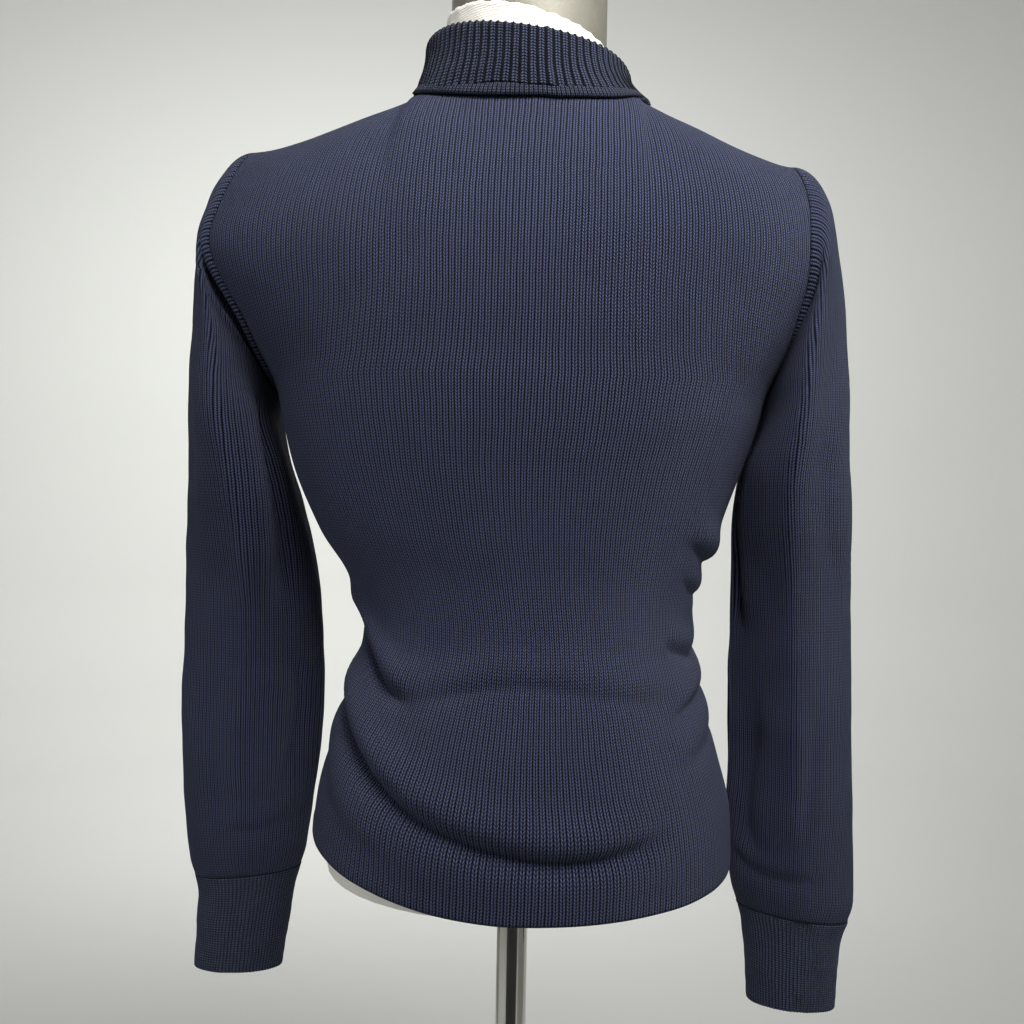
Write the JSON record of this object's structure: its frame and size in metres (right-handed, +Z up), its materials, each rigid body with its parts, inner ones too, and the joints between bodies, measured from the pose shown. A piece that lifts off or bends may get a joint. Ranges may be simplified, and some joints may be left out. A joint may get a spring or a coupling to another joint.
{
  "type": "turtleneck sweater on a dress form",
  "caption": "Fitted long-sleeved turtleneck sweater of fine knit with a folded ribbed collar and ribbed cuffs, worn by a limbless dress form on a pole with a round base.",
  "frame": {"origin": "centre of the round base's underside, on the floor, below the pole", "axes": "+Z up along the pole; -Y out of the garment's back, +Y out of its front; +X towards the garment's right side"},
  "size_m": [0.5033, 0.34, 1.3083],
  "materials": {
    "navy_knit": "matte navy jersey knit, slightly fuzzy",
    "navy_rib": "matte navy one-by-one rib",
    "form_jersey": "off-white stretched jersey cover",
    "cap_metal": "worn grey-green painted metal",
    "pole_steel": "polished steel tube",
    "base_paint": "grey painted metal"
  },
  "bodies": {
    "root": {"back_panel": "navy_knit", "front_panel": "navy_knit", "left_sleeve": "navy_knit", "right_sleeve": "navy_knit", "left_cuff": "navy_rib", "right_cuff": "navy_rib", "collar": "navy_rib", "dress_form": "form_jersey", "neck_cap": "cap_metal", "pole": "pole_steel", "base": "base_paint"}
  },
  "joints": []
}
